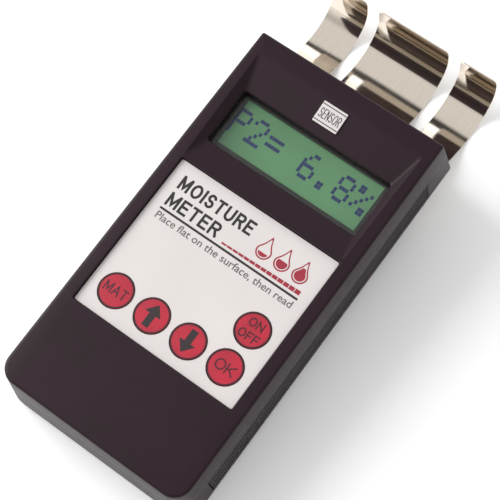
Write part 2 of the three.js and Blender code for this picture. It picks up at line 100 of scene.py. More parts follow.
# ---------- meshes from arrays ----------
def ringFaces(rings, count):
    # quads between stacked closed rings of equal point count, ring by ring
    row = np.arange(rings - 1)[:, None] * count
    start = np.arange(count)[None, :]
    after = (start + 1) % count
    quads = np.stack([row + start, row + after, row + after + count, row + start + count], -1)
    return quads.reshape(-1, 4)


def runningRound(flat, triangles, up=True):
    # the same triangles, all counter-clockwise seen from above, or clockwise when they face down
    a, b, c = (flat[triangles[:, i]] for i in range(3))
    turn = (b[:, 0] - a[:, 0]) * (c[:, 1] - a[:, 1]) - (b[:, 1] - a[:, 1]) * (c[:, 0] - a[:, 0])
    wrong = (turn < 0) == up
    triangles[wrong] = triangles[wrong][:, ::-1]
    return triangles


def fillBetween(loops, height, up=True):
    # flat triangles between an outer loop and the loops inside it, by a constrained triangulation
    points = []
    faces = []
    for loop in loops:
        first = len(points)
        points += [Vector(point[:2]) for point in loop]
        faces.append(list(range(first, first + len(loop))))
    faces = [faces[0]] + [loop[::-1] for loop in faces[1:]]
    edges = [(loop[i], loop[(i + 1) % len(loop)]) for loop in faces for i in range(len(loop))]
    flat, _, triangles, _, _, _ = delaunay_2d_cdt(points, edges, [], 1, 1e-5)
    flat = np.array([tuple(point) for point in flat])
    triangles = np.array(triangles)
    middle = flat[triangles].mean(1)
    keep = insideLoop(middle, loops[0])
    for hole in loops[1:]:
        keep &= ~insideLoop(middle, hole)
    return np.column_stack([flat, np.full(len(flat), height)]), runningRound(flat, triangles[keep], up)


def insideLoop(points, loop):
    # even-odd test: a point is inside when a ray to its right crosses the loop an odd number of times
    ring = np.asarray(loop)[:, :2]
    after = np.roll(ring, -1, axis=0)
    px, py = points[:, 0][:, None], points[:, 1][:, None]
    spans = (ring[:, 1] > py) != (after[:, 1] > py)
    rise = after[:, 1] - ring[:, 1]
    rise = np.where(rise == 0, 1e-12, rise)
    crossing = ring[:, 0] + (py - ring[:, 1]) * (after[:, 0] - ring[:, 0]) / rise
    return (spans & (px < crossing)).sum(1) % 2 == 1


class Patchwork:
    # gathers patches of points and faces, then merges what they share
    def __init__(self):
        self.points = []
        self.faces = []
        self.count = 0

    def add(self, points, faces):
        self.points.append(np.asarray(points, float))
        self.faces += (np.asarray(faces) + self.count).tolist()
        self.count += len(points)

    def rings(self, rings, flip=False):
        rings = np.asarray(rings, float)
        faces = ringFaces(*rings.shape[:2])
        self.add(rings.reshape(-1, 3), faces[:, ::-1] if flip else faces)

    def fill(self, loops, height, up=True):
        self.add(*fillBetween(loops, height, up))


def mergeDoubles(mesh, distance, joinFlat=False):
    # points nearer than the distance become one; joinFlat also makes one face of those in a plane
    builder = bmesh.new()
    builder.from_mesh(mesh)
    bmesh.ops.remove_doubles(builder, verts=builder.verts, dist=distance)
    if joinFlat:
        bmesh.ops.dissolve_limit(builder, angle_limit=math.radians(1), verts=builder.verts,
                                 edges=builder.edges)
    builder.to_mesh(mesh)
    builder.free()


def makePiece(name, patch, material, body, sharpAngle=32, merge=0.002, place=None):
    # a piece in the case's frame; place turns and moves it there first
    mesh = bpy.data.meshes.new(name)
    mesh.from_pydata(np.concatenate(patch.points).tolist(), [], patch.faces)
    mergeDoubles(mesh, merge)
    if place is not None:
        mesh.transform(place)
    return finishPiece(name, mesh, material, body, sharpAngle)


def finishPiece(name, mesh, material, body, sharpAngle=32):
    mesh.transform(caseToRow)
    mesh.materials.clear()
    mesh.materials.append(material)
    mesh.shade_smooth()
    mesh.set_sharp_from_angle(angle=math.radians(sharpAngle))
    piece = bpy.data.objects.new(name, mesh)
    bpy.context.scene.collection.objects.link(piece)
    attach(piece, body)
    return piece


def roundedLoop(half, low, high, footRadius, headRadius, steps=6, sideY=None):
    # a round-cornered rectangle, counter-clockwise from the foot's right corner;
    # sideY adds points along the two long sides
    def corner(cx, cy, radius, start):
        turn = np.radians(start + 90 * np.arange(steps + 1) / steps)
        return np.column_stack([cx + radius * np.cos(turn), cy + radius * np.sin(turn)])
    side = np.empty(0) if sideY is None else np.asarray(sideY)
    right = np.column_stack([np.full(len(side), half), side])
    left = np.column_stack([np.full(len(side), -half), side[::-1]])
    return np.concatenate([
        corner(half - footRadius, low + footRadius, footRadius, -90), right,
        corner(half - headRadius, high - headRadius, headRadius, 0),
        corner(-half + headRadius, high - headRadius, headRadius, 90), left,
        corner(-half + footRadius, low + footRadius, footRadius, 180)])


def circleLoop(x, y, radius, count=48):
    turn = 2 * np.pi * np.arange(count) / count
    return np.column_stack([x + radius * np.cos(turn), y + radius * np.sin(turn)])


def atHeight(loop, z):
    return np.column_stack([np.asarray(loop)[:, :2], np.full(len(loop), z)])


def refined(node, material, width):
    # a copy of a CAD node with its flat faces joined up and its edges rounded
    source = frame["nodes"][node]
    mesh = source.data.copy()
    mesh.transform(rowToCase)
    mergeDoubles(mesh, 0.003, joinFlat=True)
    if "custom_normal" in mesh.attributes:
        mesh.attributes.remove(mesh.attributes["custom_normal"])
    piece = finishPiece(node.title().replace("_", ""), mesh, material, source["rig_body"])
    bevel = piece.modifiers.new("roundedEdges", "BEVEL")
    bevel.width = width * 0.001
    bevel.segments = 2
    bevel.limit_method = "ANGLE"
    bevel.angle_limit = math.radians(35)
    bevel.use_clamp_overlap = True
    bevel.harden_normals = False
    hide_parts(node)
    return piece


# ---------- materials ----------
def newMaterial(name, colour, roughness, metallic=0.0, specular=0.5, coat=0.0):
    material = bpy.data.materials.new(name)
    material.use_nodes = True
    shader = material.node_tree.nodes["Principled BSDF"]
    shader.inputs["Base Color"].default_value = (*linear(colour), 1)
    shader.inputs["Roughness"].default_value = roughness
    shader.inputs["Metallic"].default_value = metallic
    shader.inputs["Specular IOR Level"].default_value = specular
    shader.inputs["Coat Weight"].default_value = coat
    return material, material.node_tree, shader


def linear(colour):
    # from screen values of 0 to 255 to scene-linear light
    share = np.asarray(colour, float) / 255
    return tuple(np.where(share <= 0.04045, share / 12.92, ((share + 0.055) / 1.055) ** 2.4))


def objectNoise(tree, scale, detail, stretch=(1, 1, 1)):
    # noise on Object coordinates; scale counts features per millimetre
    place = tree.nodes.new("ShaderNodeTexCoord")
    mapping = tree.nodes.new("ShaderNodeMapping")
    mapping.inputs["Scale"].default_value = [scale * 1000 * part for part in stretch]
    noise = tree.nodes.new("ShaderNodeTexNoise")
    noise.inputs["Scale"].default_value = 1
    noise.inputs["Detail"].default_value = detail
    tree.links.new(place.outputs["Object"], mapping.inputs["Vector"])
    tree.links.new(mapping.outputs["Vector"], noise.inputs["Vector"])
    return noise.outputs["Fac"]


def ramp(tree, value, stops):
    # stops are (position, colour of 0 to 255) pairs
    node = tree.nodes.new("ShaderNodeValToRGB")
    elements = node.color_ramp.elements
    while len(elements) < len(stops):
        elements.new(0.5)
    for element, (position, colour) in zip(elements, stops):
        element.position = position
        element.color = (*linear(colour), 1)
    tree.links.new(value, node.inputs["Fac"])
    return node.outputs["Color"]


def spread(tree, value, low, high):
    # noise keeps mostly between 0.3 and 0.7, which run from low to high
    node = tree.nodes.new("ShaderNodeMapRange")
    node.inputs["From Min"].default_value = 0.3
    node.inputs["From Max"].default_value = 0.7
    node.inputs["To Min"].default_value = low
    node.inputs["To Max"].default_value = high
    tree.links.new(value, node.inputs["Value"])
    return node.outputs["Result"]


def bump(tree, shader, value, distance):
    # the distance is in mm
    node = tree.nodes.new("ShaderNodeBump")
    node.inputs["Distance"].default_value = distance * 0.001
    node.inputs["Strength"].default_value = 1.0
    tree.links.new(value, node.inputs["Height"])
    tree.links.new(node.outputs["Normal"], shader.inputs["Normal"])


def shades(colour, *shares):
    return [np.minimum(np.asarray(colour, float) * share, 255) for share in shares]


def patterned(name, colour, roughness, tint, tones, haze, rough, grain=None, depth=0.0, ends=(0.3, 0.7),
              **kind):
    # tint, haze and grain are noises, each (scale, detail, stretch): the colour follows the first between two
    # tones, the roughness the second between two values, and the relief the third, depth mm deep;
    # without a grain of its own the relief follows the tint
    material, tree, shader = newMaterial(name, colour, roughness, **kind)
    lines = objectNoise(tree, *tint)
    tree.links.new(ramp(tree, lines, list(zip(ends, tones))), shader.inputs["Base Color"])
    tree.links.new(spread(tree, objectNoise(tree, *haze), *rough), shader.inputs["Roughness"])
    if depth:
        bump(tree, shader, objectNoise(tree, *grain) if grain else lines, depth)
    return material


def mouldedPlastic(name, colour, roughness, shade=0.12, grain=2.2, depth=0.02, specular=0.5):
    # mould texture: fine grain in the relief, slow cloudiness in colour and roughness
    return patterned(name, colour, roughness, (0.045, 4), shades(colour, 1 - shade, 1 + shade),
                     (0.3, 5), (roughness - 0.02, roughness + 0.03), (grain, 3), depth, specular=specular)


# ---------- front shell ----------
shellShape = {
    "wall": 2.2, "ceiling": 24.6, "edge": 1.1, "jointEdge": 0.15,
    "footRadius": 9.0, "headRadius": 0.9, "leastRadius": 0.5,
    "lean": 0.08, "headLean": 0.136,  # how far the sides and the head end come in, for each unit of height
    "ribLow": 5.5, "ribHigh": 16.0, "ribFrom": -65.5, "ribTo": 67.5, "ribPitch": 0.95, "ribDepth": 0.42,
    "ribEnd": 0.25, "ribSettle": 0.6, "ribRunOut": 0.3,
    "rim": 26.0, "hopperLow": 23.3, "hopperHigh": 70.9, "hopperFoot": 34.9, "hopperHead": 36.0,
    "rimRound": 0.35, "hopperRound": 1.5, "cutRound": 1.2,
    "windowMargin": 1.5, "windowGap": 0.3, "collar": (1.07, 1.2),  # the collar is this much wider and longer
    "recessGap": 0.3, "recessFlare": 0.22, "wellGap": 0.45, "wellDepth": 0.6, "stemRadius": 2.5,
    "postRadius": 3.3, "postLow": 6.6, "boreRadius": 1.5, "boreTop": 18,
    "colour": (36, 19, 28), "roughness": 0.4, "shade": 0.07, "specular": 0.22,
}
shellPlastic = mouldedPlastic("shellPlastic", shellShape["colour"], shellShape["roughness"],
                              shade=shellShape["shade"], specular=shellShape["specular"])


def outerLoop(z, inset=0.0, ribs=0.0):
    # the case's outline at a height: sides and ends lean in evenly from the joint line to the face,
    # the head most; ribs is how far the grip ribs are sunk there, as a rounded wave along Y
    lean, least = shellShape["lean"], shellShape["leastRadius"]
    rise = max(0.0, z - shellLow[2])
    half = shellHigh[0] - lean * rise - inset
    low = shellLow[1] + lean * rise + inset
    high = shellHigh[1] - shellShape["headLean"] * rise - inset
    start, end, runOut = shellShape["ribFrom"], shellShape["ribTo"], shellShape["ribRunOut"]
    count = int(round((end - start) / shellShape["ribPitch"]))
    sideY = np.linspace(start, end, count * 6 + 1)
    sideY = np.concatenate([[start - runOut], sideY, [end + runOut]])
    foot = max(least, shellShape["footRadius"] - lean * rise - inset)
    head = max(least, shellShape["headRadius"] - inset)
    steps = 10
    loop = roundedLoop(half, low, high, foot, head, steps, sideY)
    if ribs:
        wave = 0.5 + 0.5 * np.cos(2 * np.pi * (sideY - start) / (end - start) * count)
        sink = ribs * (1 - wave ** 0.7)
        sink[[0, 1, -2, -1]] = [0, ribs, ribs, 0]
        right = steps + 1
        left = 3 * right + len(sideY)
        loop[right:right + len(sideY), 0] -= sink
        loop[left:left + len(sideY), 0] += sink[::-1]
    return loop


def hopperLoop(share):
    # the sloping recess: share 0 at the window's cutout and 1 at the face
    half = (windowHigh - windowLow) / 2 - shellShape["windowMargin"]
    middle = (windowLow + windowHigh) / 2
    cutRound, hopperRound = shellShape["cutRound"], shellShape["hopperRound"]
    bottom = roundedLoop(half[0], middle[1] - half[1], middle[1] + half[1], cutRound, cutRound)
    low, high = shellShape["hopperLow"], shellShape["hopperHigh"]
    face = roundedLoop(shellShape["hopperFoot"], low, high, hopperRound, hopperRound)
    widen = (face[:, 1] - low) / (high - low) * (shellShape["hopperHead"] / shellShape["hopperFoot"] - 1)
    face[:, 0] *= 1 + widen
    return bottom + (face - bottom) * share


def buildFrontShell():
    patch = Patchwork()
    base = shellLow[2]
    edge, wall, ceiling = shellShape["edge"], shellShape["wall"], shellShape["ceiling"]
    joint, ribEnd, settle = shellShape["jointEdge"], shellShape["ribEnd"], shellShape["ribSettle"]
    ribLow, ribHigh, deep = shellShape["ribLow"], shellShape["ribHigh"], shellShape["ribDepth"]

    def ring(z, inset=0.0, ribs=0.0, up=0.0):
        return atHeight(outerLoop(z, inset, ribs), z + up)
    rings = [ring(base, wall), ring(base, joint), ring(base, up=joint),
             ring(ribLow), ring(ribLow, 0, deep, ribEnd)]
    rings += [ring(z, 0, deep) for z in np.linspace(ribLow + settle, ribHigh - settle, 5)]
    rings += [ring(ribHigh, 0, deep, -ribEnd), ring(ribHigh)]
    for turn in np.linspace(0, math.pi / 2, 7):
        rings.append(ring(faceHeight - edge * (1 - math.sin(turn)), edge * (1 - math.cos(turn))))
    patch.rings(rings)
    faceRing = rings[-1]

    # sloping recess, window cutout and the collar round the window below
    rim = shellShape["rim"]
    slope = faceHeight - rim
    cut = hopperLoop(0)
    window = windowHigh[2] + shellShape["windowGap"]
    middleY = (windowLow[1] + windowHigh[1]) / 2
    wider, longer = shellShape["collar"]
    collar = np.column_stack([cut[:, 0] * wider, middleY + (cut[:, 1] - middleY) * longer])
    rings = [atHeight(hopperLoop(1 + shellShape["rimRound"] / 6), faceHeight)]
    rings += [atHeight(hopperLoop(1 - lower / slope), faceHeight - lower) for lower in (0.06, 0.18, 0.5)]
    rings += [atHeight(hopperLoop(share), rim + share * slope) for share in (0.8, 0.4, 0.06)]
    rings += [atHeight(hopperLoop(0.012), rim + 0.02), atHeight(cut, rim - 0.14), atHeight(cut, window + 0.1),
              atHeight(cut, window), atHeight(collar, window), atHeight(collar, ceiling)]
    patch.rings(rings, flip=True)
    hopperRing, collarRing = rings[0], rings[-1]

    # label recess, with a well and a stem hole under every key
    gap, flare = shellShape["recessGap"], shellShape["recessFlare"]
    floor = labelLow[2] - gap
    recess = roundedLoop(labelHigh[0] + gap, labelLow[1] - gap, labelHigh[1] + gap, 0.8, 0.8, 4)
    grown = roundedLoop(labelHigh[0] + gap + flare, labelLow[1] - gap - flare, labelHigh[1] + gap + flare,
                        1.0, 1.0, 4)
    rings = [atHeight(grown, faceHeight), atHeight((grown + recess * 2) / 3, faceHeight - 0.06),
             atHeight(recess, faceHeight - 0.25), atHeight(recess, floor)]
    patch.rings(rings, flip=True)
    recessRing, floorRing = rings[0], rings[-1]
    wells, stems = [], []
    for name in keyNames:
        x, y, _ = keyCentres[name]
        radius = (keyBoxes[name][1][0] - keyBoxes[name][0][0]) / 2 + shellShape["wellGap"]
        low = keyBoxes[name][0][2] - shellShape["wellDepth"]
        well, stem = circleLoop(x, y, radius), circleLoop(x, y, shellShape["stemRadius"])
        patch.rings([atHeight(well, floor), atHeight(well, low), atHeight(stem, low),
                     atHeight(stem, ceiling)], flip=True)
        wells.append(well)
        stems.append(stem)
    patch.fill([faceRing, hopperRing, recessRing], faceHeight)
    patch.fill([floorRing, *wells], floor)

    # the inside: walls, ceiling and the four screw posts, each with a blind bore
    innerTop = ring(ceiling, wall)
    patch.rings([ring(base, wall), innerTop], flip=True)
    postLow, boreTop = shellShape["postLow"], shellShape["boreTop"]
    posts = []
    for node in ("foot_screw_1", "foot_screw_2", "head_screw_1", "head_screw_2"):
        low, high = caseBox(node)
        x, y = (low + high)[:2] / 2
        post, bore, pole = (circleLoop(x, y, radius, 32)
                            for radius in (shellShape["postRadius"], shellShape["boreRadius"], 0.01))
        patch.rings([atHeight(post, ceiling), atHeight(post, postLow), atHeight(bore, postLow),
                     atHeight(bore, boreTop), atHeight(pole, boreTop)])
        posts.append(post)
    patch.fill([innerTop, collarRing, *stems, *posts], ceiling, up=False)
    shell = makePiece("frontShell", patch, shellPlastic, "case")
    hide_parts("front_shell")
    return shell


frontShell = buildFrontShell()
print("front shell:", len(frontShell.data.polygons), "faces")

# ---------- rear cover, door and screws ----------
backFinish = {
    "cover": (33, 25, 28), "zinc": (178, 176, 168),
    "coverRound": 0.3, "doorRound": 0.25, "screwRound": 0.12,
}
coverPlastic = mouldedPlastic("coverPlastic", backFinish["cover"], 0.5, depth=0.03)
zincSteel = patterned("zincSteel", backFinish["zinc"], 0.3, (1.6, 4), shades(backFinish["zinc"], 0.9, 1.1),
                      (0.25, 5), (0.225, 0.39), depth=0.003, metallic=1.0)
for node, width in (("rear_cover", backFinish["coverRound"]), ("battery_door", backFinish["doorRound"])):
    refined(node, coverPlastic, width)
for node in frame["nodes"]:
    if node.startswith(("foot_screw", "head_screw", "clamp_screw")):
        refined(node, zincSteel, backFinish["screwRound"])

# ---------- label ----------
labelShape = {
    "foil": (213, 207, 205), "ink": (30, 26, 27), "greyInk": (96, 90, 90), "markInk": (150, 36, 54),
    "inkHeight": 0.03, "cornerRadius": 0.6, "bevel": 0.08, "keyGap": 0.3,
    "titleX": -29.9, "titleTop": (27.4, 19.9), "titleHeight": 5.6, "titleWidth": (32.4, 22.8),
    "titleLine": 1.0,
    "ruleY": 12.65, "ruleHalf": 30.2, "ruleThick": 0.85,
    "dropY": 20.3, "dropSize": 3.1, "dropLine": 0.55, "dropInset": 0.95,
    "drops": ((10.2, 0.3), (18.0, 0.6), (25.8, 1.0)),  # where each drop stands, and how full it is
    "blocks": 14, "blockSpan": (-4.2, 29.8), "blockGap": 0.14, "blockY": (14.1, 14.7), "blockRise": 1.1,
    "note": "Place flat on the surface, then read", "noteY": 8.0, "noteHeight": 3.4, "noteWidth": 59.6,
}
labelMiddle = (labelLow + labelHigh) / 2
labelTop = labelHigh[2]


def ink(name, colour):
    return patterned(name, colour, 0.4, (1.5, 3), shades(colour, 0.94, 1.08), (2.0, 3), (0.34, 0.46))


foil = patterned("printedFoil", labelShape["foil"], 0.3, (0.03, 3), shades(labelShape["foil"], 0.985, 1.015),
                 (0.2, 3), (0.28, 0.34), (2.0, 1), 0.003, coat=0.15)
blackInk = ink("blackInk", labelShape["ink"])
greyInk = ink("greyInk", labelShape["greyInk"])
markInk = ink("markInk", labelShape["markInk"])


def buildLabel():
    patch = Patchwork()
    half = (labelHigh - labelLow) / 2
    middle = labelMiddle[1]
    radius, bevel, bottom = labelShape["cornerRadius"], labelShape["bevel"], labelLow[2]

    def edge(inset):
        return roundedLoop(half[0] - inset, middle - half[1] + inset, middle + half[1] - inset,
                           radius, radius, 4)
    top = edge(bevel)
    patch.rings([atHeight(edge(0), bottom), atHeight(edge(0), labelTop - bevel), atHeight(top, labelTop)])
    holes = []
    for name in keyNames:
        x, y, _ = keyCentres[name]
        wide = (keyBoxes[name][1][0] - keyBoxes[name][0][0]) / 2 + labelShape["keyGap"]
        hole = circleLoop(x, y, wide, 64)
        holes.append(hole)
        patch.rings([atHeight(hole, labelTop), atHeight(hole, bottom)], flip=True)
    patch.fill([top, *holes], labelTop)
    patch.fill([edge(0), *holes], bottom, up=False)
    piece = makePiece("keypadLabel", patch, foil, "case")
    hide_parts("keypad_label")


def arc(cx, cy, rx, ry, first, last, count=14):
    turn = np.radians(np.linspace(first, last, count))
    return [(cx + rx * math.cos(t), cy + ry * math.sin(t)) for t in turn]


# Each letter is its width and the strokes through the middle of its lines, in a box one high and one wide
# across the stroke middles. A stroke ends square, half a line past its last point.
letterStrokes = {
    "A": (0.78, [[(0.0, 0.0), (0.5, 1.0), (1.0, 0.0)], [(0.2, 0.34), (0.8, 0.34)]]),
    "E": (0.60, [[(1, 1), (0, 1), (0, 0), (1, 0)], [(0, 0.52), (0.86, 0.52)]]),
    "F": (0.58, [[(1, 1), (0, 1), (0, 0)], [(0, 0.5), (0.84, 0.5)]]),
    "I": (0.0, [[(0.5, 1), (0.5, 0)]]),
    "K": (0.68, [[(0, 1), (0, 0)], [(1, 1), (0.0, 0.36)], [(0.28, 0.54), (1, 0)]]),
    "M": (0.84, [[(0, 0), (0, 1)], [(1, 0), (1, 1)], [(0.03, 1.0), (0.5, 0.16), (0.97, 1.0)]]),
    "N": (0.70, [[(0, 0), (0, 1)], [(1, 0), (1, 1)], [(0.0, 1.0), (1.0, 0.0)]]),
    "O": (0.80, [arc(0.5, 0.5, 0.5, 0.5, 90, 450, 33)]),
    "R": (0.66, [[(0, 0), (0, 1)] + arc(0.62, 0.75, 0.36, 0.25, 90, -90) + [(0, 0.5)],
                 [(0.56, 0.5), (1, 0)]]),
    "S": (0.60, [arc(0.5, 0.745, 0.46, 0.255, 25, 262) + arc(0.5, 0.26, 0.5, 0.26, 82, -155)]),
    "T": (0.64, [[(0, 1), (1, 1)], [(0.5, 1), (0.5, 0)]]),
    "U": (0.68, [[(0, 1)] + arc(0.5, 0.36, 0.5, 0.36, 180, 360) + [(1, 1)]]),
}


def ribbon(points, thick):
    # quads along a polyline, their corners set off by half the line along the mitre of the two directions
    points = np.asarray(points, float)
    closed = np.allclose(points[0], points[-1])
    along = np.diff(points, axis=0)
    along /= np.linalg.norm(along, axis=1)[:, None]
    if not closed:
        points[0] -= along[0] * thick / 2
        points[-1] += along[-1] * thick / 2
    before = np.vstack([along[-1:] if closed else along[:1], along])
    after = np.vstack([along, along[:1] if closed else along[-1:]])
    normal = np.column_stack([-before[:, 1] - after[:, 1], before[:, 0] + after[:, 0]])
    mitre = normal / (1 + (before * after).sum(1))[:, None]
    left, right = points + mitre * thick / 2, points - mitre * thick / 2
    return [np.array([right[i], right[i + 1], left[i + 1], left[i]]) for i in range(len(points) - 1)]


def mergedOutline(quads):
    # the union of overlapping quads as flat triangles, and its boundary edges
    points = [Vector(point) for quad in quads for point in quad]
    faces = [list(range(4 * i, 4 * i + 4)) for i in range(len(quads))]
    flat, _, triangles, _, _, within = delaunay_2d_cdt(points, [], faces, 0, 1e-4)
    flat = np.array([tuple(point) for point in flat])
    triangles = np.array([triangle for triangle, owners in zip(triangles, within) if owners])
    triangles = runningRound(flat, triangles)
    edges = np.concatenate([triangles[:, [0, 1]], triangles[:, [1, 2]], triangles[:, [2, 0]]])
    keys = edges[:, 0] * len(flat) + edges[:, 1]
    back = edges[:, 1] * len(flat) + edges[:, 0]
    return flat, triangles, edges[~np.isin(keys, back)]


def lettering(name, words, material, body, left, low, width, height, surface, thick, line, place=None):
    # letters set side by side and stretched to a box whose lower left corner is (left, low);
    # between the strokes of two letters there is apart times a line's thickness
    apart = 1.72
    room = sum(letterStrokes[letter][0] for letter in words)
    spacing = line * apart / height
    stretch = (width - line - spacing * height * (len(words) - 1)) / (room * height)
    quads = []
    at = left + line / 2
    for letter in words:
        wide = letterStrokes[letter][0] * height * stretch
        for stroke in letterStrokes[letter][1]:
            placed = np.asarray(stroke, float) * np.array([wide, height - line])
            placed += np.array([at, low + line / 2])
            if letter == "I":
                placed[:, 0] = at
            quads += ribbon(placed, line)
        at += wide + spacing * height
    flat, triangles, edges = mergedOutline(quads)
    patch = Patchwork()
    bottom = np.column_stack([flat, np.full(len(flat), surface)])
    top = bottom + np.array([0, 0, thick])
    patch.add(top, triangles)
    patch.add(bottom, triangles[:, ::-1])
    sides = np.concatenate([bottom[edges], top[edges][:, ::-1]], 1).reshape(-1, 3)
    patch.add(sides, np.arange(len(sides)).reshape(-1, 4))
    return makePiece(name, patch, material, body, merge=0.0005, place=place)


def smallPrint(name, words, material, body, left, low, width, height, surface, thick):
    # Blender's own type made a mesh, then stretched to a box whose lower left corner is (left, low)
    curve = bpy.data.curves.new(name, "FONT")
    curve.body = words
    curve.offset = 0.008
    curve.resolution_u = 4
    curve.extrude = 0.5
    scratch = bpy.data.objects.new(name + "Curve", curve)
    bpy.context.scene.collection.objects.link(scratch)
    bpy.context.view_layer.update()
    evaluated = scratch.evaluated_get(bpy.context.evaluated_depsgraph_get())
    mesh = bpy.data.meshes.new_from_object(evaluated)
    bpy.data.objects.remove(scratch)
    bpy.data.curves.remove(curve)
    mesh.name = name
    points = meshPoints(mesh)
    lowest, size = points.min(0), np.ptp(points, axis=0)
    points = (points - lowest) / size * np.array([width, height, thick]) + np.array([left, low, surface])
    mesh.vertices.foreach_set("co", points.ravel())
    mesh.update()
    mergeDoubles(mesh, 0.0005)
    return finishPiece(name, mesh, material, body)


def slab(name, loops, material, body, surface, thick, place=None):
    # a thin flat piece: an outer loop, and holes inside it
    patch = Patchwork()
    patch.rings([atHeight(loops[0], surface), atHeight(loops[0], surface + thick)])
    for hole in loops[1:]:
        patch.rings([atHeight(hole, surface + thick), atHeight(hole, surface)])
    patch.fill(loops, surface + thick)
    patch.fill(loops, surface, up=False)
    return makePiece(name, patch, material, body, merge=0.0005, place=place)


def buildPrint():
    x0, y0, _ = labelMiddle
    height, tall = labelShape["inkHeight"], labelShape["titleHeight"]
    titles = zip(("MOISTURE", "METER"), labelShape["titleTop"], labelShape["titleWidth"])
    for words, top, width in titles:
        lettering("title" + words.title(), words, blackInk, "case", x0 + labelShape["titleX"],
                  y0 + top - tall, width, tall, labelTop, height, labelShape["titleLine"])
    half = labelShape["ruleHalf"]
    thick = labelShape["ruleThick"] / 2
    y = y0 + labelShape["ruleY"]
    rule = roundedLoop(half, y - thick, y + thick, 0.05, 0.05, 2)
    slab("titleRule", [rule], blackInk, "case", labelTop, height)
    smallPrint("labelNote", labelShape["note"], greyInk, "case",
               x0 - labelShape["noteWidth"] / 2, y0 + labelShape["noteY"], labelShape["noteWidth"],
               labelShape["noteHeight"], labelTop, height)


def dropLoop(x, y, size):
    # a water drop: a circle whose upper half narrows with the square of the sine
    # and is drawn up to a point with its fifth power
    turn = 2 * np.pi * np.arange(40) / 40
    rise = np.sin(turn)
    narrow = np.where(rise > 0, 1 - 0.55 * rise ** 2, 1)
    point = np.where(rise > 0, rise ** 5, 0)
    return np.column_stack([x + size * np.cos(turn) * narrow, y + size * (rise + point)])


def buildMark():
    # three drops, each fuller than the last, over a row of blocks: a generic sign for dry to wet
    x0, y0, _ = labelMiddle
    height = labelShape["inkHeight"]
    size = labelShape["dropSize"]
    cy = y0 + labelShape["dropY"]
    for i, (x, filled) in enumerate(labelShape["drops"]):
        outer = dropLoop(x0 + x, cy, size)
        inner = dropLoop(x0 + x, cy, size - labelShape["dropLine"])
        slab(f"dropOutline{i + 1}", [outer, inner[::-1]], markInk, "case", labelTop, height)
        core = dropLoop(x0 + x, cy, size - labelShape["dropInset"])
        low, high = core[:, 1].min(), core[:, 1].max()
        core[:, 1] = np.minimum(core[:, 1], low + (high - low) * filled * 0.8)
        slab(f"dropFill{i + 1}", [core], markInk, "case", labelTop, height)
    blocks = labelShape["blocks"]
    left, right = labelShape["blockSpan"]
    blockLow, blockHigh = labelShape["blockY"]
    pitch = (right - left) / blocks
    for i in range(blocks):
        top = y0 + blockHigh + labelShape["blockRise"] * (i + 1) / blocks
        block = roundedLoop(pitch / 2 - labelShape["blockGap"], y0 + blockLow, top, 0.06, 0.06, 2)
        slab(f"markBlock{i + 1}", [block + np.array([x0 + left + (i + 0.5) * pitch, 0])], markInk, "case",
             labelTop, height)


buildLabel()
buildPrint()
buildMark()
print("label and its print done")

# ---------- keys ----------
keyShape = {
    "red": (174, 26, 50), "rim": (52, 10, 22), "legend": (74, 9, 27), "arrow": (40, 28, 32),
    "plunger": (30, 30, 31), "plungerRound": 0.15,
    "rimWidth": 0.55, "rimSink": 0.1, "rimThick": 0.07, "shoulder": 0.3, "shoulderRound": 0.22, "dish": 0.1,
    "legendHeight": 0.03, "legendLine": 0.55, "legendSink": 0.005,
    # each legend's key, letters, width, height and how far it stands above the key's middle
    "legends": (("material", "MAT", 9.4, 4.0, 0), ("ok", "OK", 8.0, 4.2, 0),
                ("power", "ON", 6.1, 3.4, 2.5), ("power", "OFF", 8.3, 3.4, -2.5)),
}
keyRed = patterned("keyPlastic", keyShape["red"], 0.34, (0.12, 3), shades(keyShape["red"], 0.93, 1.07),
                   (0.8, 4), (0.3, 0.42), (3.0, 2), 0.006, coat=0.1)
rimInk = ink("rimInk", keyShape["rim"])
legendInk = ink("legendInk", keyShape["legend"])
arrowInk = ink("arrowInk", keyShape["arrow"])


def lathe(name, profile, x, y, material, body, count=64):
    # a profile of (radius, height) points carried round an upright axis
    patch = Patchwork()
    turn = 2 * np.pi * np.arange(count) / count
    profile = np.asarray(profile, float)
    radius, height = profile[:, :1], profile[:, 1:]
    rings = np.stack([x + radius * np.cos(turn), y + radius * np.sin(turn), height + 0 * turn], -1)
    patch.rings(rings)
    return makePiece(name, patch, material, body)


def buildKey(name):
    # a turned cap with a rounded shoulder and a shallow dish, and a dark ring printed round its edge
    low, high = keyBoxes[name]
    x, y, _ = keyCentres[name]
    radius = (high[0] - low[0]) / 2
    body = "key_" + name
    dish, rimWidth = keyShape["dish"], keyShape["rimWidth"]
    flat = radius - rimWidth
    shoulder = high[2] - keyShape["shoulder"]
    across = np.linspace(flat, 0, 8)
    crown = [(r, high[2] - dish * (r / flat) ** 4 * 0.5 - dish * 0.5) for r in across]
    crown[-1] = (0.001, crown[-1][1])
    turned = [(flat + rimWidth * math.cos(t), shoulder + keyShape["shoulderRound"] * math.sin(t))
              for t in np.linspace(0.3, math.pi / 2, 4)]
    profile = [(0.001, low[2]), (radius, low[2]), (radius, shoulder)] + turned + crown
    cap = lathe("key" + name.title(), profile, x, y, keyRed, body)
    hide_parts(body)
    edges = [circleLoop(x, y, radius - 0.02, 64), circleLoop(x, y, flat - 0.02, 64)[::-1]]
    slab("keyRim" + name.title(), edges, rimInk, body, high[2] - keyShape["rimSink"], keyShape["rimThick"])


def legendSurface(name):
    return keyBoxes[name][1][2] - keyShape["dish"] * 0.5 - keyShape["legendSink"]


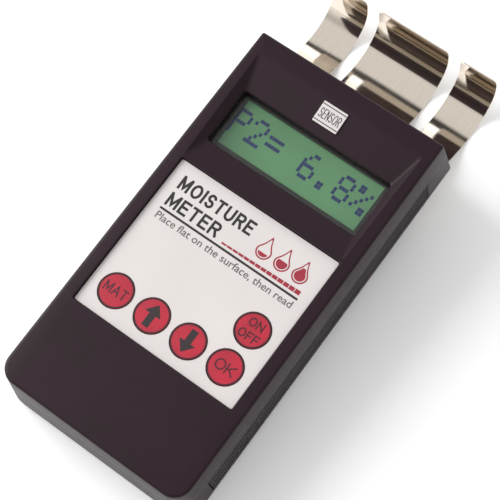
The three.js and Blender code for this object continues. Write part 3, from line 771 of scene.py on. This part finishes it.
def arrow(name, way):
    # a block arrow: a wide head on a straight shaft, way +1 up and -1 down
    x, y, _ = keyCentres[name]
    points = np.array([(-1.35, -4.5), (1.35, -4.5), (1.35, 0.5), (3.35, 0.5),
                       (0, 4.6), (-3.35, 0.5), (-1.35, 0.5)])
    if way < 0:
        points = points[::-1]
    slab("arrow" + name.title(), [points * np.array([1, way]) + np.array([x, y])], arrowInk, "key_" + name,
         legendSurface(name), keyShape["legendHeight"])


for name in keyNames:
    buildKey(name)
    plungerPlastic = mouldedPlastic("plungerPlastic" + name.title(), keyShape["plunger"], 0.5)
    plunger = refined("plunger_" + name, plungerPlastic, keyShape["plungerRound"])
for name, words, width, height, rise in keyShape["legends"]:
    x, y, _ = keyCentres[name]
    lettering("legend" + name.title() + words.title(), words, legendInk, "key_" + name, x - width / 2,
              y + rise - height / 2, width, height, legendSurface(name), keyShape["legendHeight"],
              keyShape["legendLine"])
arrow("up", 1)
arrow("down", -1)
print("keys done")

# ---------- display ----------
displayShape = {
    "panel": (91, 137, 96), "dot": (14, 32, 86), "bezel": (38, 36, 34),
    "text": "P2= 6.8%", "pitchX": 1.285, "pitchY": 1.55, "cell": 7.68,
    "dotFill": 0.93, "left": -30.3, "top": 52.0, "thick": 0.03,
    "paneTint": (0.96, 0.98, 0.97), "paneRoughness": 0.05,
    "paneLeast": 0.02, "paneRise": 0.9, "paneSteep": 5,  # reflection: least + rise * facing ** steep
}
dotRows = {
    "P": ["11110", "10001", "10001", "11110", "10000", "10000", "10000"],
    "2": ["01110", "10001", "00001", "00010", "00100", "01000", "11111"],
    "=": ["00000", "00000", "11111", "00000", "11111", "00000", "00000"],
    "6": ["00110", "01000", "10000", "11110", "10001", "10001", "01110"],
    ".": ["00000", "00000", "00000", "00000", "00000", "01100", "01100"],
    "8": ["01110", "10001", "10001", "01110", "10001", "10001", "01110"],
    "%": ["11000", "11001", "00010", "00100", "01000", "10011", "00011"],
}


def clearPane():
    # thin clear sheet: plain transparency under a sharp reflection that rises towards a low angle
    # and is the same from both sides, so the display shows at a low angle too
    material = bpy.data.materials.new("clearPane")
    material.use_nodes = True
    tree = material.node_tree
    tree.nodes.clear()
    output = tree.nodes.new("ShaderNodeOutputMaterial")
    mix = tree.nodes.new("ShaderNodeMixShader")
    see = tree.nodes.new("ShaderNodeBsdfTransparent")
    see.inputs["Color"].default_value = (*displayShape["paneTint"], 1)
    shine = tree.nodes.new("ShaderNodeBsdfGlossy")
    shine.inputs["Roughness"].default_value = displayShape["paneRoughness"]
    facing = tree.nodes.new("ShaderNodeLayerWeight")
    facing.inputs["Blend"].default_value = 0.5
    steep = tree.nodes.new("ShaderNodeMath")
    steep.operation = "POWER"
    steep.inputs[1].default_value = displayShape["paneSteep"]
    edge = tree.nodes.new("ShaderNodeMath")
    edge.operation = "MULTIPLY_ADD"
    edge.inputs[1].default_value = displayShape["paneRise"]
    edge.inputs[2].default_value = displayShape["paneLeast"]
    tree.links.new(facing.outputs["Facing"], steep.inputs[0])
    tree.links.new(steep.outputs["Value"], edge.inputs[0])
    tree.links.new(edge.outputs["Value"], mix.inputs["Fac"])
    tree.links.new(see.outputs["BSDF"], mix.inputs[1])
    tree.links.new(shine.outputs["BSDF"], mix.inputs[2])
    tree.links.new(mix.outputs["Shader"], output.inputs["Surface"])
    return material


def buildReadout():
    # every lit dot is a thin square slab, all worked out at once from the character rows
    corners = np.array([(-1, -1), (1, -1), (1, 1), (-1, 1)]) / 2 * displayShape["dotFill"]
    cell, pitchX, pitchY = displayShape["cell"], displayShape["pitchX"], displayShape["pitchY"]
    spots = []
    for place, character in enumerate(displayShape["text"]):
        for row, line in enumerate(dotRows.get(character, [])):
            spots += [(place * cell + column * pitchX, -row * pitchY)
                      for column, lit in enumerate(line) if lit == "1"]
    spots = np.array(spots) + np.array([displayShape["left"], displayShape["top"]])
    flat = spots[:, None, :] + corners[None] * np.array([pitchX, pitchY])
    low = np.concatenate([flat, np.full(flat.shape[:2] + (1,), glassTop)], -1)
    high = low + np.array([0, 0, displayShape["thick"]])
    points = np.concatenate([low, high], 1).reshape(-1, 3)
    faces = np.array([(3, 2, 1, 0), (4, 5, 6, 7), (0, 1, 5, 4), (1, 2, 6, 5), (2, 3, 7, 6), (3, 0, 4, 7)])
    patch = Patchwork()
    patch.add(points, (np.arange(len(spots))[:, None, None] * 8 + faces[None]).reshape(-1, 4))
    makePiece("readoutDots", patch, ink("dotInk", displayShape["dot"]), "case", merge=0.0001)


displayPanel = patterned("displayPanel", displayShape["panel"], 0.22, (0.03, 2),
                         shades(displayShape["panel"], 0.94, 1.08), (1.2, 3), (0.2, 0.27), ends=(0.25, 0.75),
                         coat=0.3)
bezelBlack = mouldedPlastic("bezelBlack", displayShape["bezel"], 0.45, specular=0.4)
refined("display_glass", displayPanel, 0.1)
refined("display_bezel", bezelBlack, 0.15)
refined("display_window", clearPane(), 0.1)
buildReadout()
print("display done")

# ---------- electrodes ----------
leafShape = {
    "thick": 0.5, "flangeZ": -5.75, "flangeFrom": 71.0, "flat": 8.7, "bend": 4.0, "slope": 24.5, "ramp": 14.2,
    "sag": 27.5, "curl": 13.7, "curlTurn": 90.0, "tip": 6.8, "tipRadius": 2.0, "edgeRound": 0.06,
    "steel": (237, 226, 212), "roughness": 0.09, "carrier": (172, 166, 157),
}
leafSpans = {name: caseBox("electrode_" + name) for name in ("left", "centre", "right")}


def leafPath():
    # the leaf's middle line in (y, z) and its heading, made of straights of (length, steps, 0)
    # and arcs of (radius, steps, degrees turned up)
    def stretch(start, length, count, turned):
        y, z, heading = start
        share = np.linspace(0, 1, count + 1)[1:]
        if turned:
            angle = heading + math.radians(turned) * share
            radius = length * math.copysign(1, turned)
            return np.column_stack([y + radius * (np.sin(angle) - math.sin(heading)),
                                    z - radius * (np.cos(angle) - math.cos(heading)), angle])
        return np.column_stack([y + length * share * math.cos(heading),
                                z + length * share * math.sin(heading), np.full(count, heading)])
    path = [np.array([[leafShape["flangeFrom"], leafShape["flangeZ"], 0.0]])]
    slope = leafShape["slope"]
    for length, count, turned in ((leafShape["flat"], 4, 0), (leafShape["bend"], 8, -slope),
                                  (leafShape["ramp"], 6, 0), (leafShape["sag"], 12, slope),
                                  (leafShape["curl"], 26, leafShape["curlTurn"]), (leafShape["tip"], 8, 0)):
        path.append(stretch(path[-1][-1], length, count, turned))
    return np.concatenate(path)


def buildLeaf(name):
    # the path carried across X: each station holds a rounded-edge strip section,
    # and the last stations narrow along a quarter circle to round the tip's corners
    low, high = leafSpans[name]
    middle, half = (low[0] + high[0]) / 2, (high[0] - low[0]) / 2
    path = leafPath()
    run = np.concatenate([[0], np.cumsum(np.hypot(*np.diff(path[:, :2], axis=0).T))])
    radius = leafShape["tipRadius"]
    last = run[-1]
    stations = np.concatenate([run[run < last - radius * 1.02],
                               last - radius + radius * np.sin(np.linspace(0, math.pi / 2, 9))])
    y, z, heading = (np.interp(stations, run, path[:, i]) for i in range(3))
    short = np.clip(stations - (last - radius), 0, radius)
    width = half - radius + np.sqrt(np.maximum(radius ** 2 - short ** 2, 1e-4))
    thick, soft = leafShape["thick"] / 2, leafShape["edgeRound"]
    wide = 9
    across = np.linspace(1, -1, wide)
    section = np.concatenate([
        np.column_stack([across, np.ones(wide), np.zeros(wide)]), [[-1, 0.5, -1], [-1, -0.5, -1]],
        np.column_stack([across[::-1], -np.ones(wide), np.zeros(wide)]), [[1, -0.5, 1], [1, 0.5, 1]]])
    x = middle + section[:, 0] * (width[:, None] - soft) + section[:, 2] * soft
    side, turn = section[:, 1] * thick, heading[:, None]
    rings = np.stack([x, y[:, None] - side * np.sin(turn), z[:, None] + side * np.cos(turn)], -1)
    patch = Patchwork()
    patch.rings(rings)
    top = np.arange(wide)
    back = 2 * wide + 1
    bottom = back - top
    ends = np.column_stack([top[:-1], top[1:], bottom[1:], bottom[:-1]])
    sides = np.array([(wide - 1, wide, wide + 1, wide + 2), (back, back + 1, back + 2, 0)])
    for faces in (ends, sides):
        patch.add(rings[0], faces[:, ::-1])
        patch.add(rings[-1], faces)
    piece = makePiece("electrode" + name.title(), patch, brightSteel, "electrode_" + name, 40)
    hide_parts("electrode_" + name)


# rolled strip: fine lines along the leaf (Y and Z), a slow haze in the roughness and shallow waves
brightSteel = patterned("electrodeSteel", leafShape["steel"], leafShape["roughness"],
                        (1.8, 4, (1, 0.03, 0.03)), shades(leafShape["steel"], 0.985, 1.01),
                        (0.12, 5), (leafShape["roughness"] * 0.85, leafShape["roughness"] * 1.25),
                        (0.25, 2, (1, 0.3, 0.3)), 0.0012, metallic=1.0)
for name in leafSpans:
    buildLeaf(name)
carrierPlastic = mouldedPlastic("carrierPlastic", leafShape["carrier"], 0.45, shade=0.04)
refined("electrode_carrier", carrierPlastic, 0.3)
for name in leafSpans:
    refined("clamp_" + name, zincSteel, 0.25)
print("electrodes done")

# ---------- inside ----------
innerFinish = {
    "black_plastic": mouldedPlastic("innerBlack", (32, 31, 31), 0.5),
    "chip_black": mouldedPlastic("chipBlack", (28, 28, 30), 0.35, grain=4.0, depth=0.01),
    "zinc_steel": zincSteel,
    "board_green": patterned("boardLaminate", (38, 96, 58), 0.4, (0.25, 5), ((32, 84, 50), (48, 112, 68)),
                             (1.0, 4), (0.32, 0.5), (2.0, 3), 0.01, ends=(0.35, 0.65), coat=0.2),
    # turns of enamelled wire: fine bands round the winding
    "coil_copper": patterned("copperWire", (184, 104, 58), 0.32, (2.4, 1, (0.02, 0.02, 1)),
                             ((140, 74, 40), (200, 120, 70)), (0.5, 3), (0.25, 0.42), depth=0.05,
                             ends=(0.35, 0.6), metallic=1.0),
    "cell_grey": mouldedPlastic("cellJacket", (70, 74, 80), 0.32, shade=0.06, depth=0.006),
    "ivory_plastic": mouldedPlastic("ivoryPlastic", (214, 206, 182), 0.42, shade=0.05),
    "foam_grey": mouldedPlastic("foamGrey", (78, 78, 80), 0.85, shade=0.16, grain=1.2, depth=0.18,
                                specular=0.2),
    "wire_red": mouldedPlastic("wireRed", (168, 34, 36), 0.38, shade=0.06, depth=0.006),
}
slotOf = {part["node"]: part["material_slot"] for part in frame["record"]["subparts"]}
outerSlots = ("case_plastic", "label_foil", "key_red", "window_clear", "display_green", "bright_steel")
done = {node for node in frame["nodes"] if slotOf[node] in outerSlots}
done |= {"display_bezel", "electrode_carrier", "slope_plate"}
done |= {node for node in frame["nodes"]
         if node.startswith(("plunger_", "clamp_", "foot_screw", "head_screw"))}
for node in sorted(set(frame["nodes"]) - done):
    refined(node, innerFinish[slotOf[node]], 0.12)
print("inner pieces done:", len(frame["nodes"]) - len(done))

# ---------- sticker on the slope ----------
plateShape = {
    "half": (5.2, 4.2), "thick": 0.3, "cornerRadius": 0.35, "bevel": 0.06,
    "lineThick": 0.34, "lineInset": 1.0, "lineHeight": 0.02,
    "word": "SENSOR", "wordHeight": 3.8, "wordWidth": 8.8, "wordLine": 0.3,
}


def buildPlate():
    # the plate lies on the slope; its own frame has the origin in the middle of its top face
    cutHigh = windowHigh[1] - shellShape["windowMargin"]
    slope = math.atan2(faceHeight - shellShape["rim"], shellShape["hopperHigh"] - cutHigh)
    low, high = caseBox("slope_plate")
    middle = Vector((low + high) / 2)
    half, thick, bevel = plateShape["half"], plateShape["thick"], plateShape["bevel"]
    place = (Matrix.Translation(middle) @ Matrix.Rotation(slope, 4, "X")
             @ Matrix.Translation((0, 0, thick / 2)))
    patch = Patchwork()

    def edge(inset):
        radius = plateShape["cornerRadius"]
        return roundedLoop(half[0] - inset, -half[1] + inset, half[1] - inset, radius, radius, 5)
    patch.rings([atHeight(edge(0), -thick), atHeight(edge(0), -bevel), atHeight(edge(bevel), 0)])
    patch.fill([edge(bevel)], 0)
    patch.fill([edge(0)], -thick, up=False)
    plate = makePiece("slopePlate", patch, foil, "case", place=place)
    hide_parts("slope_plate")
    lineHalf, inkHeight = plateShape["lineThick"] / 2, plateShape["lineHeight"]
    for i, way in enumerate((-1, 1)):
        y = way * (half[1] - plateShape["lineInset"])
        line = roundedLoop(half[0] - 0.1, y - lineHalf, y + lineHalf, 0.05, 0.05, 2)
        slab(f"plateLine{i + 1}", [line], blackInk, "case", 0, inkHeight, place)
    width, height = plateShape["wordWidth"], plateShape["wordHeight"]
    lettering("plateWord", plateShape["word"], blackInk, "case", -width / 2, -height / 2, width, height, 0,
              inkHeight, plateShape["wordLine"], place)


buildPlate()

# ---------- studio ----------
# Directions are in the row's frame: X right, Y beyond the head, Z up, each from -1 to 1.
studio = {
    "floor": (252, 252, 252), "floorGlow": 0.1, "floorReach": 3.0,
    "horizon": 1.35, "overhead": 0.75, "skyFade": (0.05, 0.6),  # brightness, and the Z over which it fades
    "rightSide": 0.5, "rightFade": (0.1, 0.8), "footSide": 0.7, "footFade": (-0.8, -0.55),
    # what the electrodes see beyond the head: (degrees up, brightness), between two bearings from Y to X
    "beyondHead": ((0, 0.9), (20, 1.1), (30, 1.4), (40, 2.0), (44, 1.0), (45.5, 0.05), (54.5, 0.05),
                   (60, 0.72)),
    "beyondFrom": -28.0, "beyondTo": 50.0, "beyondFade": (2, 15),
    "softLight": {"place": (-1.15, -0.2, 0.9), "size": 1.0, "power": 19},
}
camera = {  # in the case's frame, the place in mm
    "place": (140.097, -108.106, 548.733), "view": (-0.24380, 0.21117, -0.94656),
    "up": (-0.54297, 0.77898, 0.31364), "lens": 112.548, "sensor": 36.0,
}


def buildFloor():
    reach = studio["floorReach"]
    mesh = bpy.data.meshes.new("paperFloor")
    mesh.from_pydata([(-reach, -reach, 0), (reach, -reach, 0), (reach, reach, 0), (-reach, reach, 0)], [],
                     [(0, 1, 2, 3)])
    material, tree, shader = newMaterial("paper", studio["floor"], 0.85, specular=0.2)
    stops = list(zip((0.3, 0.7), shades(studio["floor"], 0.995, 1.005)))
    tree.links.new(ramp(tree, objectNoise(tree, 0.02, 3), stops), shader.inputs["Base Color"])
    shader.inputs["Emission Color"].default_value = (1, 1, 1, 1)
    shader.inputs["Emission Strength"].default_value = studio["floorGlow"]
    mesh.materials.append(material)
    floor = bpy.data.objects.new("paperFloor", mesh)
    bpy.context.scene.collection.objects.link(floor)


def addLight(name, setting):
    light = bpy.data.lights.new(name, "AREA")
    light.shape = "DISK"
    light.size = setting["size"]
    light.energy = setting["power"]
    lamp = bpy.data.objects.new(name, light)
    lamp.location = setting["place"]
    lamp.rotation_euler = (Vector((0, 0, 0.01)) - lamp.location).to_track_quat("-Z", "Y").to_euler()
    bpy.context.scene.collection.objects.link(lamp)


def aimCamera():
    turn = caseToRow.to_3x3() * 1000
    back = turn @ -Vector(camera["view"])
    up = turn @ Vector(camera["up"])
    right = up.cross(back).normalized()
    up = back.cross(right).normalized()
    seen = bpy.data.cameras.new("camera")
    seen.lens = camera["lens"]
    seen.sensor_width = camera["sensor"]
    seen.clip_start, seen.clip_end = 0.05, 20
    eye = bpy.data.objects.new("camera", seen)
    eye.matrix_world = Matrix.Translation(caseToRow @ Vector(camera["place"])) @ Matrix(
        (right, up, back.normalized())).transposed().to_4x4()
    bpy.context.scene.collection.objects.link(eye)
    bpy.context.scene.camera = eye


def paintSky():
    # brightness falls from the horizon to overhead, and to the right and the foot;
    # beyond the head it follows its own profile
    world = bpy.data.worlds.new("studio")
    bpy.context.scene.world = world
    world.use_nodes = True
    tree = world.node_tree

    def calc(operation, first, second=None):
        node = tree.nodes.new("ShaderNodeMath")
        node.operation = operation
        for socket, value in zip(node.inputs, (first, second)):
            if isinstance(value, (int, float)):
                socket.default_value = value
            elif value is not None:
                tree.links.new(value, socket)
        return node.outputs["Value"]

    def rise(value, start, end, low, high):
        node = tree.nodes.new("ShaderNodeMapRange")
        node.interpolation_type = "SMOOTHSTEP"
        for name, number in (("From Min", start), ("From Max", end), ("To Min", low), ("To Max", high)):
            node.inputs[name].default_value = number
        tree.links.new(value, node.inputs["Value"])
        return node.outputs["Result"]
    place = tree.nodes.new("ShaderNodeTexCoord")
    parts = tree.nodes.new("ShaderNodeSeparateXYZ")
    tree.links.new(place.outputs["Generated"], parts.inputs["Vector"])
    general = rise(parts.outputs["Z"], *studio["skyFade"], studio["horizon"], studio["overhead"])
    right = rise(parts.outputs["X"], *studio["rightFade"], 1, studio["rightSide"])
    foot = rise(parts.outputs["Y"], *studio["footFade"], studio["footSide"], 1)
    general = calc("MULTIPLY", calc("MULTIPLY", general, right), foot)
    up = calc("MULTIPLY", calc("ARCSINE", parts.outputs["Z"]), 2 / math.pi)
    profile = tree.nodes.new("ShaderNodeValToRGB")
    elements = profile.color_ramp.elements
    while len(elements) < len(studio["beyondHead"]):
        elements.new(0.5)
    for element, (degrees, level) in zip(elements, studio["beyondHead"]):
        element.position = degrees / 90
        element.color = (level, level, level, 1)
    tree.links.new(up, profile.inputs["Fac"])
    side = calc("MULTIPLY", calc("ARCTAN2", parts.outputs["X"], parts.outputs["Y"]), 180 / math.pi)
    first, last = studio["beyondFrom"], studio["beyondTo"]
    firstFade, lastFade = studio["beyondFade"]
    inside = calc("MULTIPLY", rise(side, first, first + firstFade, 0, 1),
                  rise(side, last, last + lastFade, 1, 0))
    mix = tree.nodes.new("ShaderNodeMix")
    tree.links.new(inside, mix.inputs["Factor"])
    tree.links.new(general, mix.inputs["A"])
    tree.links.new(profile.outputs["Color"], mix.inputs["B"])
    background = tree.nodes["Background"]
    background.inputs["Color"].default_value = (1, 1, 1, 1)
    tree.links.new(mix.outputs["Result"], background.inputs["Strength"])


buildFloor()
addLight("softLight", studio["softLight"])
paintSky()
aimCamera()
bpy.context.scene.view_settings.view_transform = "Standard"
print("studio done")
